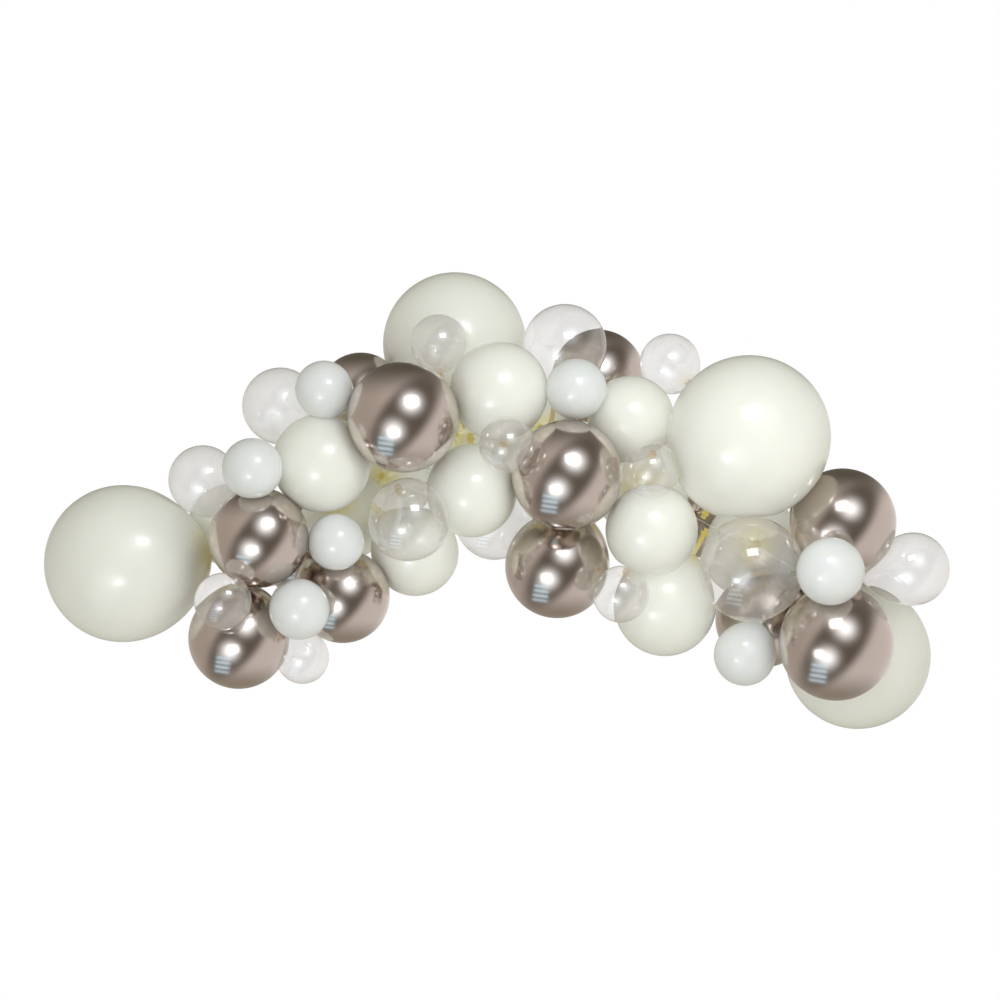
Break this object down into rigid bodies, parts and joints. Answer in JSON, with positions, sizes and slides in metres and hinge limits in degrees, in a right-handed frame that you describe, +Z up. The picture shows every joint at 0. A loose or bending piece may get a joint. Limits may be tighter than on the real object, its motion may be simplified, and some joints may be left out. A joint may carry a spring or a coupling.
{
  "type": "balloon garland",
  "caption": "Arched party garland of ivory, white, champagne chrome and clear latex balloons in mixed sizes, tied by their necks to a clear decorating strip.",
  "frame": {"origin": "middle of the level stretch of the strip, on its top face, where the garland hangs", "axes": "+X to the viewer's right along the garland, +Y away from the viewer, +Z up"},
  "size_m": [1.9821, 0.7713, 1.0031],
  "materials": {
    "ivory_latex": "glossy inflated latex, warm ivory, more yellow at the neck",
    "white_latex": "glossy inflated latex, cool white",
    "champagne_latex": "metallic inflated latex, champagne brown, soft mirror gloss",
    "clear_latex": "see-through inflated latex, faintly milky, amber at the neck",
    "clear_plastic": "clear flexible strip"
  },
  "bodies": {
    "root": {"decorating_strip": "clear_plastic", "balloon_ivory_large_left_end": "ivory_latex", "balloon_ivory_large_top": "ivory_latex", "balloon_ivory_large_right": "ivory_latex", "balloon_ivory_large_low_right": "ivory_latex", "balloon_chrome_1": "champagne_latex", "balloon_chrome_2": "champagne_latex", "balloon_chrome_3": "champagne_latex", "balloon_chrome_4": "champagne_latex", "balloon_chrome_5": "champagne_latex", "balloon_chrome_6": "champagne_latex", "balloon_chrome_7": "champagne_latex", "balloon_chrome_8": "champagne_latex", "balloon_chrome_9": "champagne_latex", "balloon_chrome_10": "champagne_latex", "balloon_chrome_11": "champagne_latex", "balloon_ivory_1": "ivory_latex", "balloon_ivory_2": "ivory_latex", "balloon_ivory_3": "ivory_latex", "balloon_ivory_4": "ivory_latex", "balloon_ivory_5": "ivory_latex", "balloon_ivory_6": "ivory_latex", "balloon_ivory_7": "ivory_latex", "balloon_ivory_8": "ivory_latex", "balloon_ivory_9": "ivory_latex", "balloon_white_1": "white_latex", "balloon_white_2": "white_latex", "balloon_white_3": "white_latex", "balloon_white_4": "white_latex", "balloon_white_5": "white_latex", "balloon_white_6": "white_latex", "balloon_white_7": "white_latex", "balloon_clear_1": "clear_latex", "balloon_clear_2": "clear_latex", "balloon_clear_3": "clear_latex", "balloon_clear_4": "clear_latex", "balloon_clear_5": "clear_latex", "balloon_clear_6": "clear_latex", "balloon_clear_7": "clear_latex", "balloon_clear_8": "clear_latex", "balloon_clear_9": "clear_latex", "balloon_clear_10": "clear_latex", "balloon_clear_pear_1": "clear_latex", "balloon_clear_11": "clear_latex", "balloon_clear_12": "clear_latex", "balloon_clear_pear_2": "clear_latex", "balloon_chrome_back_1": "champagne_latex", "balloon_ivory_back_1": "ivory_latex", "balloon_ivory_back_2": "ivory_latex", "balloon_ivory_back_3": "ivory_latex", "balloon_ivory_back_4": "ivory_latex", "balloon_ivory_back_5": "ivory_latex", "balloon_chrome_back_2": "champagne_latex", "balloon_chrome_back_3": "champagne_latex"}
  },
  "joints": []
}
